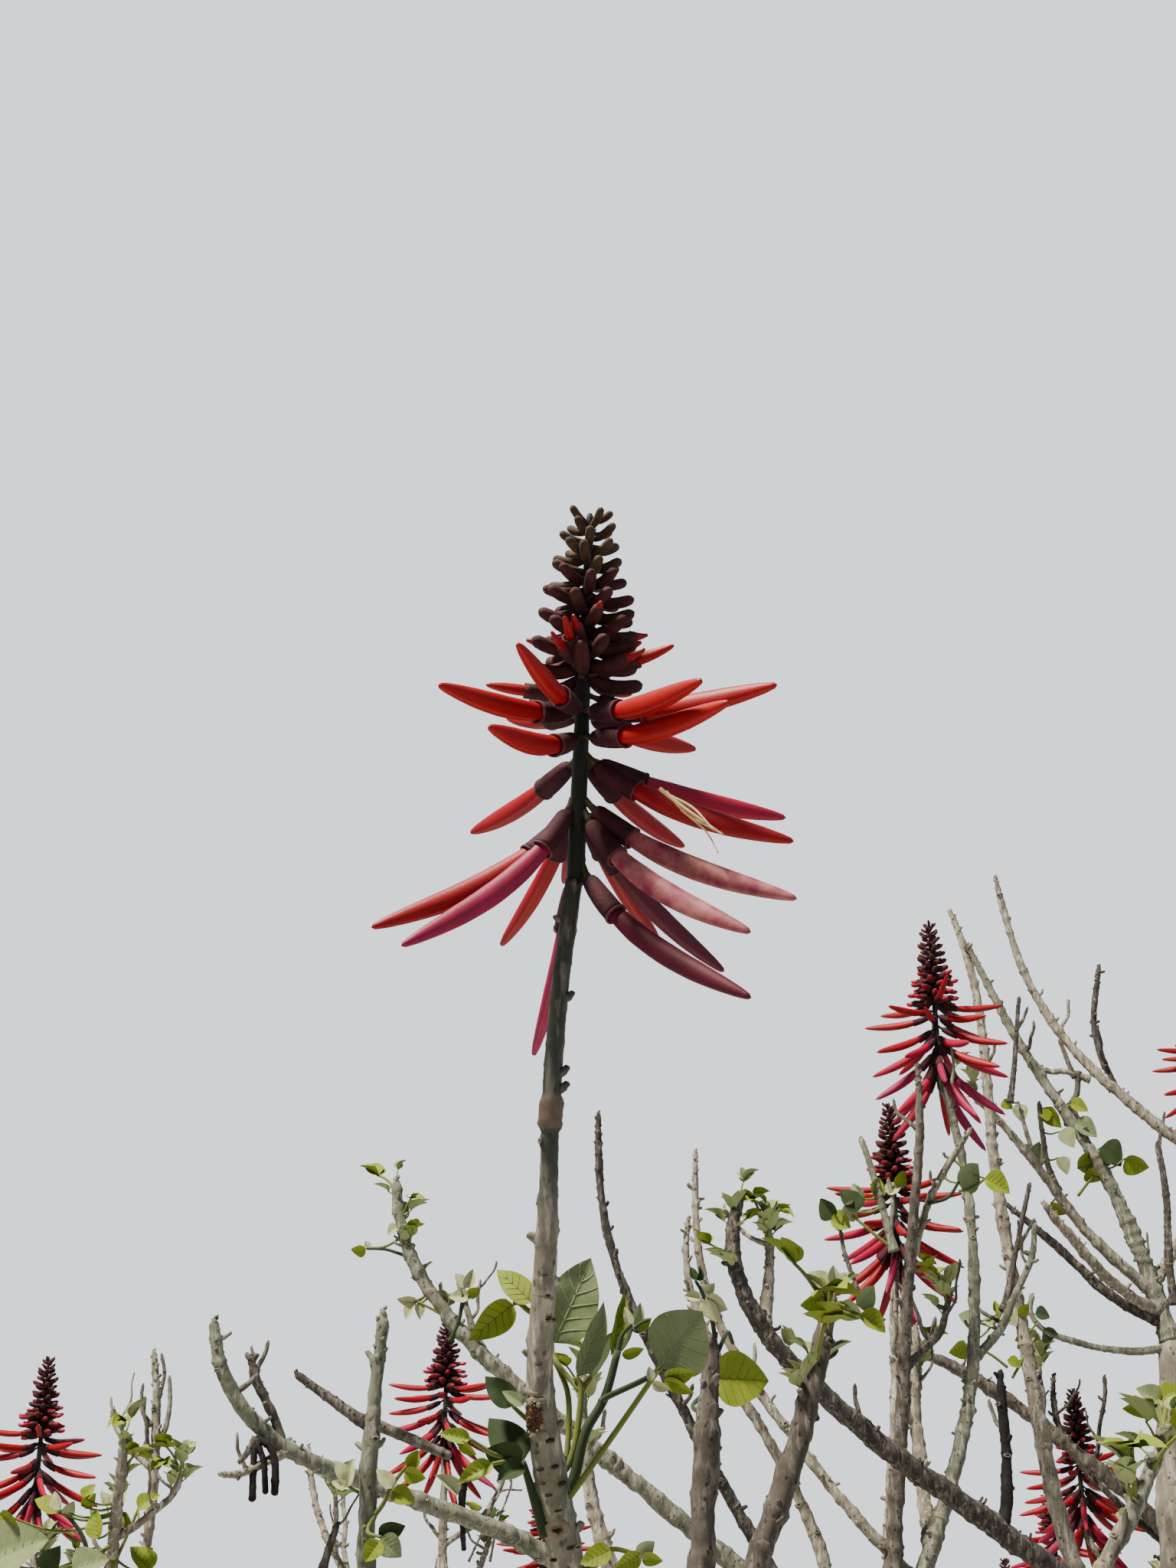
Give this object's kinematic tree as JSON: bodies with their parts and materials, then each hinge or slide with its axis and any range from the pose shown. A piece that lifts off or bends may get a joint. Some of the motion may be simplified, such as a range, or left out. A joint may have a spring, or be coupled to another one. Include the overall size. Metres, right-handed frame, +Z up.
{
  "type": "coral tree",
  "caption": "Small coral tree in flower, nearly bare of leaves: a low fork, five limbs and knobbly stems that end in red flower spikes.",
  "frame": {"origin": "middle of the flat cut under the trunk, at ground level", "axes": "+Z up along the trunk, -Y towards the side from which the tree is seen in the picture"},
  "size_m": [2.2272, 2.7816, 2.7894],
  "materials": {
    "trunk_bark": "rough",
    "limb_bark": "rough",
    "bough_bark": "rough",
    "spray": "matte",
    "stem_bark": "rough",
    "green_stem": "satin",
    "dead_twig": "rough",
    "petal": "satin",
    "calyx": "matte",
    "leaf": "satin"
  },
  "bodies": {
    "root": {"trunk": "trunk_bark", "limb_leader": "limb_bark", "limb_front": "limb_bark", "limb_left": "limb_bark", "limb_right": "limb_bark", "limb_back": "limb_bark", "bough_front": "bough_bark", "bough_front_left": "bough_bark", "bough_front_right": "bough_bark", "bough_left": "bough_bark", "bough_far_left": "bough_bark", "bough_behind_left": "bough_bark", "bough_leader": "bough_bark", "bough_centre": "bough_bark", "bough_middle": "bough_bark", "bough_right": "bough_bark", "bough_crossing": "bough_bark", "bough_front_far_right": "bough_bark", "bough_back": "bough_bark", "bough_back_right": "bough_bark", "bough_back_left": "bough_bark", "bough_inner_back": "bough_bark", "bough_top_left": "bough_bark", "bough_top_right": "bough_bark", "mass_near_spike": "spray", "mass_front_left": "spray", "mass_front_right": "spray", "mass_left": "spray", "mass_far_left": "spray", "mass_behind_left": "spray", "mass_centre": "spray", "mass_middle": "spray", "mass_crossing": "spray", "mass_top": "spray", "mass_top_left": "spray", "mass_top_right": "spray", "mass_inner_back": "spray", "mass_right": "spray", "mass_front_far_right": "spray", "mass_back": "spray", "mass_back_right": "spray", "mass_back_left": "spray"}
  },
  "joints": []
}
